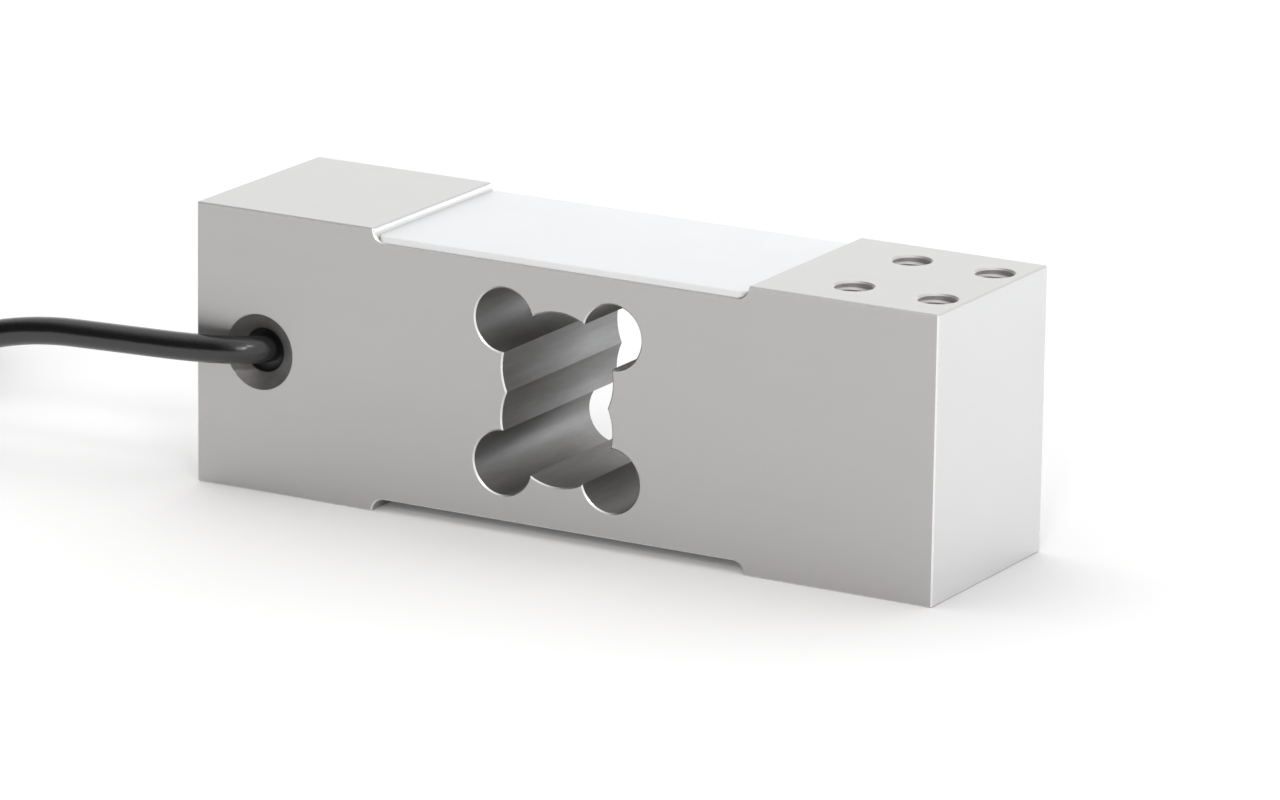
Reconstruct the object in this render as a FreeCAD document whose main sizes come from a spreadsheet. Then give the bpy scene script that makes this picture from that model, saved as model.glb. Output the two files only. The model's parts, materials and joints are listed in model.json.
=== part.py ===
import FreeCAD, Part
import math
import os
import sys

import Sketcher

# Single point load cell: an aluminium bending beam with a binocular pocket, strain gauges under silicone
# on both thin walls, a bridge board in the cable outlet, and the sheathed cable, wound up beside the beam
# with its stripped leads on top of the coil.
# Frame: origin at the bottom centre of the beam, X along the beam to the load end, Y away from the
# side that the cable leaves by, Z up. Lengths are in millimetres and angles in degrees.

os.makedirs("parts", exist_ok=True)
doc = FreeCAD.newDocument("single_point_load_cell")
Vector = FreeCAD.Vector
UP = Vector(0, 0, 1)

# Driving sizes: alias, value and what it is
SIZES = [
    ("block_length", 175.0, "overall length of the beam"),
    ("block_width", 48.0, "across the beam"),
    ("block_height", 60.8, "height of the end pads"),
    ("relief_length", 88.7, "relief between the end pads, measured at the pads' faces"),
    ("relief_depth", 2.8, "depth of the relief and radius of its end fillets"),
    ("edge_break", 0.3, "chamfer on the machined edges"),
    ("corner_bore_radius", 6.85, "four bores that leave the thin walls of the pocket"),
    ("corner_bore_x", 12.8, "from mid length to a corner bore"),
    ("corner_bore_z", 15.2, "from mid height to a corner bore"),
    ("lobe_radius", 13.1, "the two lobes in the middle of the pocket"),
    ("lobe_offset", 5.4, "from mid height to the centre of a lobe"),
    ("outlet_radius", 4.8, "blind bore that the cable leaves by"),
    ("outlet_mouth_radius", 8.2, "conical mouth of the outlet"),
    ("outlet_mouth_angle", 118.0, "conical mouth of the outlet"),
    ("outlet_end_distance", 15.5, "from the fixed end to the outlet's axis"),
    ("outlet_depth", 30.0, "depth of the outlet"),
    ("duct_radius", 1.8, "drilled wire ducts from the outlet to both reliefs"),
    ("duct_mouth_x", 36.0, "from mid length to a duct's mouth in the relief floor"),
    ("screw_radius", 4.0, "nominal radius of the M8 tapped holes"),
    ("countersink_radius", 4.4, "mouth of a tapped hole"),
    ("countersink_angle", 90.0, "mouth of a tapped hole"),
    ("screw_depth", 16.0, "full depth of a tapped hole"),
    ("drill_point_angle", 118.0, "point of the tapping drill"),
    ("load_hole_x", 71.7, "from mid length to the middle of the load pattern"),
    ("fixed_hole_x", 71.7, "from mid length to the middle of the fixing pattern"),
    ("hole_pitch_x", 19.0, "pitch of both patterns along the beam"),
    ("hole_pitch_y", 25.0, "pitch of both patterns across the beam"),
    ("gauge_length", 10.0, "gauge carrier along the beam"),
    ("gauge_width", 7.0, "gauge carrier across the beam"),
    ("gauge_film", 0.1, "thickness of a gauge carrier"),
    ("grid_film", 0.05, "thickness of the measuring foil"),
    ("grid_line_length", 5.0, "length of the lines of the measuring grid"),
    ("grid_line_width", 0.24, "width of a grid line"),
    ("grid_line_pitch", 0.5, "from one grid line to the next"),
    ("grid_tab", 1.3, "side of a solder tab"),
    ("strip_length", 7.0, "terminal strip along the beam"),
    ("strip_width", 12.0, "terminal strip across the beam"),
    ("strip_thickness", 0.15, "thickness of a terminal strip"),
    ("strip_x", 26.0, "from mid length to the middle of a terminal strip"),
    ("strip_pad_pitch", 2.6, "from one pad of a strip to the next"),
    ("strip_pad_column", 2.0, "from the middle of a strip to a column of pads"),
    ("pad_side", 1.4, "side of a solder pad on a strip"),
    ("pad_thickness", 0.08, "thickness of a solder pad with its tin"),
    ("solder_gap", 0.02, "between a wire and the pad under it"),
    ("jumper_radius", 0.12, "enamelled wire from a strip to a gauge"),
    ("ribbon_radius", 0.2, "wire from a strip to the bridge board"),
    ("ribbon_pitch", 0.6, "from one ribbon wire to the next in the duct"),
    ("coating_thickness", 1.3, "silicone over the gauges, above the relief floor"),
    ("coating_setback", 0.25, "from the beam's sides to the upper silicone"),
    ("coating_setback_below", 5.0, "from the beam's sides to the lower silicone"),
    ("coating_corner", 2.6, "rounding of the silicone's corners"),
    ("coating_edge", 0.5, "rounding of the silicone's upper edge"),
    ("board_thickness", 0.8, "bridge board on the floor of the outlet"),
    ("board_clearance", 0.3, "between the bridge board and the outlet's wall"),
    ("board_pad_side", 0.6, "side of a solder pad on the bridge board"),
    ("board_pad_pitch", 0.85, "from one ribbon pad to the next"),
    ("board_pad_start", 1.2, "from the outlet's axis to the first ribbon pad"),
    ("core_pad_x", 2.9, "from the outlet's axis to the middle of the core pads"),
    ("core_pad_side", 1.0, "side of a pad for a core of the cable"),
    ("core_pad_pitch", 1.5, "from one core pad to the next"),
    ("resistor_length", 1.6, "trimming resistor on the bridge board"),
    ("resistor_width", 0.8, "trimming resistor on the bridge board"),
    ("resistor_height", 0.45, "trimming resistor on the bridge board"),
    ("resistor_x", 0.6, "from the outlet's axis to a trimming resistor, along the beam"),
    ("resistor_z", 3.6, "from the outlet's axis to a trimming resistor, upright"),
    ("potting_face_depth", 3.0, "from the front face to the potting round the cable"),
    ("potting_length", 12.0, "length of the potting along the outlet"),
    ("potting_creep", 0.6, "how far the potting creeps up the outlet's wall"),
    ("cable_diameter", 6.0, "round sheathed cable"),
    ("core_radius", 0.55, "insulated core of the cable"),
    ("core_offset", 0.65, "from the bundle's middle to a core, along both of its axes"),
    ("drain_radius", 0.3, "bare drain wire of the screen"),
    ("coil_radius", 33.5, "middle of the wound cable"),
    ("coil_columns", 3, "turns side by side in the coil"),
    ("coil_layers", 3, "turns on top of each other in the coil"),
    ("coil_margin", 0.15, "looseness of the wound cable round its turns"),
    ("coil_lead_in", 24.0, "straight cable just before the coil"),
    ("coil_last_turn", 215.0, "how far the last turn runs on top of the coil"),
    ("coil_climb", 36.0, "how far round the coil the cable climbs to its last turn"),
    ("tail_length", 11.0, "straight cable end after the last turn"),
    ("sleeve_length", 13.0, "shrink sleeve over the cable's end"),
    ("sleeve_overlap", 8.0, "how far the sleeve covers the sheath"),
    ("sleeve_wall", 0.5, "wall of the shrink sleeve"),
    ("sleeve_nose_radius", 2.1, "shrunk end round the leads"),
    ("nose_length", 4.0, "tapered end of the sleeve"),
    ("rest_gap", 0.1, "between the coil and what lies on it"),
    ("lead_start", 1.0, "straight leads past the sleeve's nose"),
    ("lead_span", 60.0, "how far the free leads follow the coil"),
    ("lead_spread", 2.7, "from one lead's end to the next"),
    ("tip_length", 6.0, "tinned end of a lead"),
    ("tip_radius", 0.28, "tinned end of a lead"),
]
sheet = doc.addObject("Spreadsheet::Sheet", "Size")
for row, (alias, value, note) in enumerate(SIZES, start=1):
    sheet.set(f"A{row}", alias)
    sheet.set(f"B{row}", str(value))
    sheet.set(f"C{row}", note)
    sheet.setAlias(f"B{row}", alias)
doc.recompute()


def size(alias):
    """The value of one of the sheet's sizes."""
    return float(sheet.get(alias))


# Places that several pieces share
mid_height = size("block_height") / 2
front_y = -size("block_width") / 2
outlet_x = -(size("block_length") / 2 - size("outlet_end_distance"))
outlet_floor_y = front_y + size("outlet_depth")
cable_radius = size("cable_diameter") / 2
duct_run = Vector(-size("duct_mouth_x") - outlet_x, 0, mid_height - size("relief_depth"))
duct_tilt = math.degrees(math.atan2(duct_run.x, duct_run.z))

# The same places as expressions on the sheet
MID_HEIGHT = "Size.block_height / 2"
HALF_WIDTH = "Size.block_width / 2"
OUTLET_X = "-(Size.block_length / 2 - Size.outlet_end_distance)"
OUTLET_FLOOR_Y = "Size.outlet_depth - Size.block_width / 2"
TOP_FLOOR = "Size.block_height - Size.relief_depth"
DUCT_RUN_X = "(Size.block_length / 2 - Size.outlet_end_distance - Size.duct_mouth_x)"
DUCT_RUN_Z = "(Size.block_height / 2 - Size.relief_depth)"
DUCT_RUN = f"sqrt({DUCT_RUN_X}^2 + {DUCT_RUN_Z}^2)"
DUCT_TILT = f"atan({DUCT_RUN_X} / {DUCT_RUN_Z})"
NEAR = 0.001  # places closer than this count as one
SIDES = {"top": 1, "bottom": -1}
ENDS = {"load": 1, "fixed": -1}

parts = []


def keep(thing, label):
    """Names a finished sub-part and lists it for writing."""
    thing.Label = label
    parts.append(thing)
    return thing


def bind(thing, **expressions):
    """Ties properties of an object to the sheet. A double underscore stands for a dot."""
    for name, expression in expressions.items():
        thing.setExpression(name.replace("__", "."), expression)


def place(thing, x="0", y="0", z="0"):
    """Ties an object's place to the sheet."""
    bind(thing, Placement__Base__x=x, Placement__Base__y=y, Placement__Base__z=z)


def origin_plane(body, role):
    return next(plane for plane in body.Origin.OriginFeatures if plane.Role == role)


def sketch_on(body, name, role, height="0"):
    """An empty sketch on one of the body's own origin planes, lifted along the plane's normal."""
    sketch = body.newObject("Sketcher::SketchObject", name)
    sketch.AttachmentSupport = [(origin_plane(body, role), "")]
    sketch.MapMode = "FlatFace"
    bind(sketch, AttachmentOffset__Base__z=height)
    return sketch


def measure(sketch, kind, geometry, point, number, expression):
    """Ties a sketch point's distance from the origin, across or along, to the sheet."""
    ends = (-1, 1, geometry, point) if number > 0 else (geometry, point, -1, 1)
    index = sketch.addConstraint(Sketcher.Constraint(kind, *ends, abs(number)))
    sketch.setExpression(f"Constraints[{index}]", expression if number > 0 else f"-({expression})")


def hold(sketch, geometry, point, across, along):
    """Ties a sketch point to the sheet. Each place is a number and its expression, or None on that axis."""
    for kind, other_axis, target in (("DistanceX", -2, across), ("DistanceY", -1, along)):
        if target is None:
            sketch.addConstraint(Sketcher.Constraint("PointOnObject", geometry, point, other_axis))
        else:
            measure(sketch, kind, geometry, point, *target)


def circle(sketch, across, along, radius):
    """A circle whose centre and radius follow the sheet."""
    centre = Vector(across[0] if across else 0, along[0] if along else 0, 0)
    geometry = sketch.addGeometry(Part.Circle(centre, UP, size(radius)))
    hold(sketch, geometry, 3, across, along)
    index = sketch.addConstraint(Sketcher.Constraint("Radius", geometry, size(radius)))
    sketch.setExpression(f"Constraints[{index}]", f"Size.{radius}")


def line(sketch, start, end):
    return sketch.addGeometry(Part.LineSegment(Vector(*start, 0), Vector(*end, 0)))


def join(sketch, *pairs):
    """Makes the listed line and arc ends coincide."""
    for one, other in pairs:
        sketch.addConstraint(Sketcher.Constraint("Coincident", *one, *other))


def outline(sketch, corners, headings):
    """A closed outline of straight lines, each level, upright or slanting as its heading says."""
    count = len(corners)
    lines = [line(sketch, corners[i], corners[(i + 1) % count]) for i in range(count)]
    join(sketch, *[((lines[i], 2), (lines[(i + 1) % count], 1)) for i in range(count)])
    for edge, heading in zip(lines, headings):
        if heading != "slanting":
            sketch.addConstraint(Sketcher.Constraint(heading, edge))
    return lines


def rectangle(sketch, left, right, high):
    """A rectangle that stands on the sketch's level axis. Each side is a number and its expression."""
    corners = [(left[0], 0), (right[0], 0), (right[0], high[0]), (left[0], high[0])]
    lines = outline(sketch, corners, ("Horizontal", "Vertical", "Horizontal", "Vertical"))
    hold(sketch, lines[0], 1, left, None)
    hold(sketch, lines[2], 1, right, high)


def trough(sketch, side):
    """The section of a relief: its floor, and a quarter-round fillet up to the pad at each end."""
    top = SIDES[side] > 0
    depth = size("relief_depth")
    face = size("block_height") if top else 0
    quarters = {1: 3, -1: 2} if top else {1: 0, -1: 1}
    floor_z = face - SIDES[side] * depth
    centre_x = size("relief_length") / 2 - depth
    floor = line(sketch, (-centre_x, floor_z), (centre_x, floor_z))
    mouth = line(sketch, (-centre_x - depth, face), (centre_x + depth, face))
    for end, at_line in ((1, 2), (-1, 1)):
        ring = Part.Circle(Vector(end * centre_x, face, 0), UP, depth)
        quarter = quarters[end]
        arc = sketch.addGeometry(Part.ArcOfCircle(ring, quarter * math.pi / 2, (quarter + 1) * math.pi / 2))
        # an arc runs counter-clockwise: it starts at the floor in odd quarters and at the pad in even ones
        at_floor, at_pad = (1, 2) if quarter % 2 else (2, 1)
        join(sketch, ((floor, at_line), (arc, at_floor)), ((mouth, at_line), (arc, at_pad)))
        middle = f"{end} * (Size.relief_length / 2 - Size.relief_depth)"
        hold(sketch, arc, 3, (end * centre_x, middle), (face, "Size.block_height") if top else None)
        sketch.addConstraint(Sketcher.Constraint("Vertical", arc, 3, arc, at_floor))
        sketch.addConstraint(Sketcher.Constraint("Horizontal", arc, 3, arc, at_pad))
        index = sketch.addConstraint(Sketcher.Constraint("Radius", arc, depth))
        sketch.setExpression(f"Constraints[{index}]", "Size.relief_depth")


def cut(body, name, sketch, length):
    """A pocket through the whole width, on both sides of the sketch."""
    pocket = body.newObject("PartDesign::Pocket", name)
    pocket.Profile = sketch
    pocket.SideType = "Symmetric"
    bind(pocket, Length=length)
    return pocket


def edges_where(shape, test):
    """The names of the edges whose box passes a test, as fillets and chamfers take them."""
    return [f"Edge{i}" for i, edge in enumerate(shape.Edges, start=1) if test(edge.BoundBox)]


def turn(body, name, sketch):
    """A solid of revolution about the sketch's upright axis."""
    turned = body.newObject("PartDesign::Revolution", name)
    turned.Profile = sketch
    turned.ReferenceAxis = (sketch, ["V_Axis"])
    turned.Angle = 360
    return turned


# The beam: a bar with the side section of the end pads and both reliefs
beam = doc.addObject("PartDesign::Body", "spring_body")
section = sketch_on(beam, "side_section", "XZ_Plane")
half_length = size("block_length") / 2
rectangle(
    section,
    (-half_length, "-Size.block_length / 2"),
    (half_length, "Size.block_length / 2"),
    (size("block_height"), "Size.block_height"),
)
bar = beam.newObject("PartDesign::Pad", "bar")
bar.Profile = section
bar.SideType = "Symmetric"
bind(bar, Length="Size.block_width")
for side in SIDES:
    relief = sketch_on(beam, f"{side}_relief_section", "XZ_Plane")
    trough(relief, side)
    cut(beam, f"{side}_relief", relief, "Size.block_width + 2")

# The binocular pocket: four corner bores at the thin walls, opened out by two large lobes
corner_bores = sketch_on(beam, "corner_bore_circles", "XZ_Plane")
for end in ENDS.values():
    for side in SIDES.values():
        circle(
            corner_bores,
            (end * size("corner_bore_x"), f"{end} * Size.corner_bore_x"),
            (mid_height + side * size("corner_bore_z"), f"{MID_HEIGHT} + {side} * Size.corner_bore_z"),
            "corner_bore_radius",
        )
cut(beam, "corner_bores", corner_bores, "Size.block_width + 2")
for name, side in SIDES.items():
    lobe = sketch_on(beam, f"{name}_lobe_circle", "XZ_Plane")
    middle = (mid_height + side * size("lobe_offset"), f"{MID_HEIGHT} + {side} * Size.lobe_offset")
    circle(lobe, None, middle, "lobe_radius")
    pocket = cut(beam, f"{name}_lobe", lobe, "Size.block_width + 2")
doc.recompute()


def is_outer_edge(box):
    """Whether an edge is one that a machinist would break: all on the side faces and the pads' ends."""
    on_side = box.YLength < NEAR and abs(abs(box.YMax) - size("block_width") / 2) < NEAR
    across = box.YLength > size("block_width") - NEAR and box.XLength < NEAR and box.ZLength < NEAR
    on_pad_face = abs(box.ZMax - size("block_height")) < NEAR or abs(box.ZMin) < NEAR
    return on_side or (across and on_pad_face)


edge_breaks = beam.newObject("PartDesign::Chamfer", "edge_breaks")
edge_breaks.Base = (pocket, edges_where(pocket.Shape, is_outer_edge))
bind(edge_breaks, Size="Size.edge_break")
doc.recompute()


def drill(name, sketch, bore, depth, mouth, mouth_angle, pointed=True, upward=False):
    """Blind holes with a conical mouth, and with a drill's point or a flat floor."""
    holes = beam.newObject("PartDesign::Hole", name)
    holes.Profile = sketch
    holes.DepthType = "Dimension"
    holes.HoleCutType = "Countersink"
    holes.DrillPoint = "Angled" if pointed else "Flat"
    holes.Reversed = upward
    bind(
        holes,
        Diameter=f"2 * Size.{bore}",
        Depth=f"Size.{depth}",
        DrillPointAngle="Size.drill_point_angle",
        HoleCutDiameter=f"2 * Size.{mouth}",
        HoleCutCountersinkAngle=f"Size.{mouth_angle}",
    )
    doc.recompute()


# The cable outlet, drilled from the front face with the cone of a larger drill at its mouth
outlet_sketch = sketch_on(beam, "outlet_circle", "XZ_Plane", HALF_WIDTH)
circle(outlet_sketch, (outlet_x, OUTLET_X), (mid_height, MID_HEIGHT), "outlet_radius")
doc.recompute()
outlet_mouth = ("outlet_mouth_radius", "outlet_mouth_angle")
drill("outlet", outlet_sketch, "outlet_radius", "outlet_depth", *outlet_mouth, pointed=False)

# The wire ducts, drilled on the slant from each relief floor into the outlet
for side, sign in SIDES.items():
    duct = beam.newObject("PartDesign::SubtractiveCylinder", f"{side}_duct")
    duct.AttachmentSupport = [(origin_plane(beam, "XY_Plane"), "")]
    duct.MapMode = "FlatFace"
    duct.AttachmentOffset = FreeCAD.Placement(Vector(), FreeCAD.Rotation(Vector(0, 1, 0), duct_tilt))
    bind(
        duct,
        Radius="Size.duct_radius",
        Height=f"{DUCT_RUN} + 2 * Size.duct_radius",
        AttachmentOffset__Base__x=OUTLET_X,
        AttachmentOffset__Base__z=MID_HEIGHT,
        AttachmentOffset__Rotation__Angle=DUCT_TILT if sign > 0 else f"180 deg - {DUCT_TILT}",
    )

# The tapped holes: the load pattern in the top of one pad, the fixing pattern under the other
doc.recompute()
for name, end, level in (("load", 1, "Size.block_height"), ("fixed", -1, "0")):
    pattern = sketch_on(beam, f"{name}_hole_circles", "XY_Plane", level)
    for across in (-1, 1):
        for along in (-1, 1):
            x = end * size(f"{name}_hole_x") + across * size("hole_pitch_x") / 2
            circle(
                pattern,
                (x, f"{end} * Size.{name}_hole_x + {across} * Size.hole_pitch_x / 2"),
                (along * size("hole_pitch_y") / 2, f"{along} * Size.hole_pitch_y / 2"),
                "screw_radius",
            )
    doc.recompute()
    screw_mouth = ("countersink_radius", "countersink_angle")
    drill(f"{name}_holes", pattern, "screw_radius", "screw_depth", *screw_mouth, upward=end < 0)
keep(beam, "spring_body")


def box(name, sides, corner):
    """A box from the expressions of its sides and of its lowest corner."""
    thing = doc.addObject("Part::Box", name)
    bind(thing, Length=sides[0], Width=sides[1], Height=sides[2])
    place(thing, *corner)
    return thing


def group(kind, name, members):
    """A fusion or a compound of the listed objects."""
    thing = doc.addObject(kind, name)
    if kind == "Part::MultiFuse":
        thing.Shapes = members
    else:
        thing.Links = members
    return thing


def cut_away(name, base, tools):
    """One object with the space of others taken out."""
    thing = doc.addObject("Part::Cut", name)
    thing.Base = base
    thing.Tool = tools[0] if len(tools) == 1 else group("Part::Compound", f"{name}_space", tools)
    return thing


def from_code(name, shape):
    """An object whose shape is swept in code along a path."""
    thing = doc.addObject("Part::Feature", name)
    thing.Shape = shape
    thing.Placement = FreeCAD.Placement()
    return thing


def unit(vector):
    return Vector(vector).normalize()


def rounded_path(points):
    """Straight runs joined by tangent arcs, and the radii of the arcs."""
    edges, radii = [], []
    start = points[0]
    for before, corner, after in zip(points, points[1:], points[2:]):
        back, ahead = unit(before - corner), unit(after - corner)
        half_turn = (math.pi - back.getAngle(ahead)) / 2
        reach = 0.45 * min((before - corner).Length, (after - corner).Length)
        radius = reach / math.tan(half_turn)
        middle = corner + unit(back + ahead) * (radius / math.cos(half_turn) - radius)
        edges.append(Part.LineSegment(start, corner + back * reach).toShape())
        edges.append(Part.Arc(corner + back * reach, middle, corner + ahead * reach).toShape())
        radii.append(radius)
        start = corner + ahead * reach
    edges.append(Part.LineSegment(start, points[-1]).toShape())
    return Part.Wire(edges), radii


def tube(points, radius):
    """A round solid along straight runs joined by tangent arcs."""
    path, _ = rounded_path(points)
    ring = Part.Wire(Part.Circle(points[0], points[1] - points[0], radius).toShape())
    return path.makePipe(Part.Face(ring))


def wire(points, radius, flats=8):
    """A thin wire through a few points, with flats for its round and sharp corners."""
    heading = unit(points[1] - points[0])
    sideways = unit(heading.cross(UP if abs(heading.z) < 0.9 else Vector(1, 0, 0)))
    upward = sideways.cross(heading)
    turns = [math.tau * (i + 0.5) / flats for i in range(flats + 1)]
    ring = [points[0] + sideways * (radius * math.cos(t)) + upward * (radius * math.sin(t)) for t in turns]
    return Part.makePolygon(points).makePipeShell([Part.makePolygon(ring)], True, False, 1)


def mirror_below(thing, label):
    """The same piece on the lower side of the beam."""
    copy = doc.addObject("Part::Mirroring", label)
    copy.Source = thing
    copy.Normal = UP
    bind(copy, Base__z=MID_HEIGHT)
    return keep(copy, label)


# One measuring grid, lying at the origin: six lines joined into one winding, with a solder tab at each end
GRID_LINES = 6
foil = []
for i in range(GRID_LINES):
    across = f"({i - (GRID_LINES - 1) / 2} * Size.grid_line_pitch)"
    near_x = "(Size.grid_tab - Size.grid_line_length) / 2"
    foil.append(
        box(
            f"grid_line_{i}",
            ("Size.grid_line_length", "Size.grid_line_width", "Size.grid_film"),
            (near_x, f"{across} - Size.grid_line_width / 2", "0"),
        )
    )
    if i < GRID_LINES - 1:
        loop_x = near_x if i % 2 else f"{near_x} + Size.grid_line_length - 2 * Size.grid_line_width"
        foil.append(
            box(
                f"grid_loop_{i}",
                ("2 * Size.grid_line_width", "Size.grid_line_pitch + Size.grid_line_width", "Size.grid_film"),
                (loop_x, f"{across} - Size.grid_line_width / 2", "0"),
            )
        )
outer_line = f"({(GRID_LINES - 1) / 2} * Size.grid_line_pitch - Size.grid_line_width / 2)"
for name, corner_y in (("near", f"-{outer_line} - Size.grid_tab"), ("far", outer_line)):
    foil.append(
        box(
            f"grid_tab_{name}",
            ("Size.grid_tab", "Size.grid_tab", "Size.grid_film"),
            ("-(Size.grid_tab + Size.grid_line_length) / 2", corner_y, "0"),
        )
    )
grid = group("Part::MultiFuse", "measuring_grid", foil)

# The gauges on the upper relief, one over each thin wall of the pocket
covered = []
for end_name, end in ENDS.items():
    middle = f"{end} * Size.corner_bore_x"
    carrier = box(
        f"gauge_{end_name}_top",
        ("Size.gauge_length", "Size.gauge_width", "Size.gauge_film"),
        (f"{middle} - Size.gauge_length / 2", "-Size.gauge_width / 2", TOP_FLOOR),
    )
    foil_copy = group("Part::Compound", f"grid_{end_name}_top", [grid])
    place(foil_copy, middle, "0", f"{TOP_FLOOR} + Size.gauge_film")
    covered += [keep(carrier, f"gauge_{end_name}_top"), keep(foil_copy, f"grid_{end_name}_top")]

# The terminal strip between the gauges and the duct, with four pairs of pads
ROWS = (-1.5, -0.5, 0.5, 1.5)
strip = box(
    "strip_top",
    ("Size.strip_length", "Size.strip_width", "Size.strip_thickness"),
    ("-Size.strip_x - Size.strip_length / 2", "-Size.strip_width / 2", TOP_FLOOR),
)
terminals = []
for number, row in enumerate(ROWS):
    level = f"{TOP_FLOOR} + Size.strip_thickness"
    middle_y = f"{row} * Size.strip_pad_pitch"
    halves = [
        box(
            f"pad_{number}_{column}",
            ("Size.pad_side", "Size.pad_side", "Size.pad_thickness"),
            (
                f"-Size.strip_x + {column} * Size.strip_pad_column - Size.pad_side / 2",
                f"{middle_y} - Size.pad_side / 2",
                level,
            ),
        )
        for column in (-1, 1)
    ]
    neck = box(
        f"pad_{number}_neck",
        ("2 * Size.strip_pad_column", "Size.pad_side / 4", "Size.pad_thickness"),
        ("-Size.strip_x - Size.strip_pad_column", f"{middle_y} - Size.pad_side / 8", level),
    )
    terminals.append(group("Part::MultiFuse", f"terminal_{number}", [*halves, neck]))
strip_pads = group("Part::Compound", "strip_pads_top", terminals)
covered += [keep(strip, "strip_top"), keep(strip_pads, "strip_pads_top")]

# Enamelled jumpers from the strip to the tabs: the inner pair to the near gauge, the outer to the far one
floor_z = size("block_height") - size("relief_depth")
pad_top = floor_z + size("strip_thickness") + size("pad_thickness") + size("solder_gap")
tab_x = (size("grid_tab") + size("grid_line_length")) / 2 - size("grid_tab") / 2
tab_y = (GRID_LINES - 1) / 2 * size("grid_line_pitch") + (size("grid_tab") - size("grid_line_width")) / 2
beside_gauge = size("gauge_width") / 2 + 4 * size("jumper_radius")
jumper_z = pad_top + size("jumper_radius")
jumpers = []
for row in ROWS:
    side = math.copysign(1, row)
    pad = Vector(-size("strip_x") + size("strip_pad_column"), row * size("strip_pad_pitch"), jumper_z)
    gauge_x = math.copysign(size("corner_bore_x"), abs(row) - 1)
    tab = Vector(gauge_x - tab_x, side * tab_y, jumper_z)
    points = [pad, tab]
    if gauge_x > 0:
        for reach in (size("gauge_length") / 2, -size("gauge_length") / 2):
            points.insert(-1, Vector(-size("corner_bore_x") - reach, side * beside_gauge, jumper_z))
    jumpers.append(wire(points, size("jumper_radius")))
jumper_wires = from_code("jumpers_top", Part.Compound(jumpers))

# Ribbon wires from the strip down the duct, each landing on its own pad of the bridge board. The wire that
# lies nearest to the board turns off first, so they never cross
board_face_y = outlet_floor_y - size("board_thickness")
along_duct = unit(duct_run)
ribbon_z = pad_top + size("ribbon_radius")
over_mouth = Vector(-size("duct_mouth_x"), 0, floor_z) + along_duct * ((ribbon_z - floor_z) / along_duct.z)
pad_reach = [size("board_pad_start") + i * size("board_pad_pitch") for i in range(len(ROWS))]
ribbons = []
for row, reach in zip(ROWS, pad_reach):
    in_duct = Vector(0, row * size("ribbon_pitch"), 0)
    landing = Vector(outlet_x, 0, mid_height) + along_duct * reach
    on_pad = Vector(landing.x, board_face_y - size("pad_thickness") - size("solder_gap"), landing.z)
    pad = Vector(-size("strip_x") - size("strip_pad_column"), row * size("strip_pad_pitch"), ribbon_z)
    ribbons.append(wire([pad, over_mouth + in_duct, landing + in_duct, on_pad], size("ribbon_radius")))
ribbon_wires = from_code("ribbon_top", Part.Compound(ribbons))
covered += [keep(jumper_wires, "jumpers_top"), keep(ribbon_wires, "ribbon_top")]

# Silicone poured over them: it fills the relief's fillets and ends just inside the beam's sides. The layer
# under the beam is narrower, so it doesn't show from the side
pour = doc.addObject("PartDesign::Body", "pour")
pour_section = sketch_on(pour, "pour_section", "XZ_Plane")
trough(pour_section, "top")
pour_pad = pour.newObject("PartDesign::Pad", "pour_pad")
pour_pad.Profile = pour_section
pour_pad.SideType = "Symmetric"
bind(pour_pad, Length="Size.block_width")
END_REACH = "sqrt(Size.relief_depth^2 - (Size.relief_depth - Size.coating_thickness)^2)"
SLAB_LENGTH = f"2 * (Size.relief_length / 2 - Size.relief_depth + {END_REACH})"


def silicone(name, setback):
    """A layer over one relief floor, with round corners and a soft edge, less what it covers."""
    mould = doc.addObject("PartDesign::Body", f"{name}_mould")
    slab = mould.newObject("PartDesign::AdditiveBox", f"{name}_slab")
    slab_width = f"(Size.block_width - 2 * {setback})"
    bind(slab, Length=SLAB_LENGTH, Width=slab_width, Height="2 * Size.coating_thickness")
    place(mould, f"-{SLAB_LENGTH} / 2", f"-{slab_width} / 2", f"{TOP_FLOOR} - Size.coating_thickness")
    doc.recompute()
    corners = mould.newObject("PartDesign::Fillet", f"{name}_corners")
    corners.Base = (slab, edges_where(slab.Shape, lambda box: box.ZLength > NEAR))
    bind(corners, Radius="Size.coating_corner")
    doc.recompute()
    highest = corners.Shape.BoundBox.ZMax
    soft_edge = mould.newObject("PartDesign::Fillet", f"{name}_soft_edge")
    soft_edge.Base = (corners, edges_where(corners.Shape, lambda box: box.ZMin > highest - NEAR))
    bind(soft_edge, Radius="Size.coating_edge")
    layer = doc.addObject("Part::Common", f"{name}_layer")
    layer.Base = pour
    layer.Tool = mould
    return cut_away(name, layer, covered)


keep(silicone("coating_top", "Size.coating_setback"), "coating_top")
mirror_below(silicone("coating_under", "Size.coating_setback_below"), "coating_bottom")
for piece in covered:
    mirror_below(piece, piece.Label.replace("_top", "_bottom"))

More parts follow.
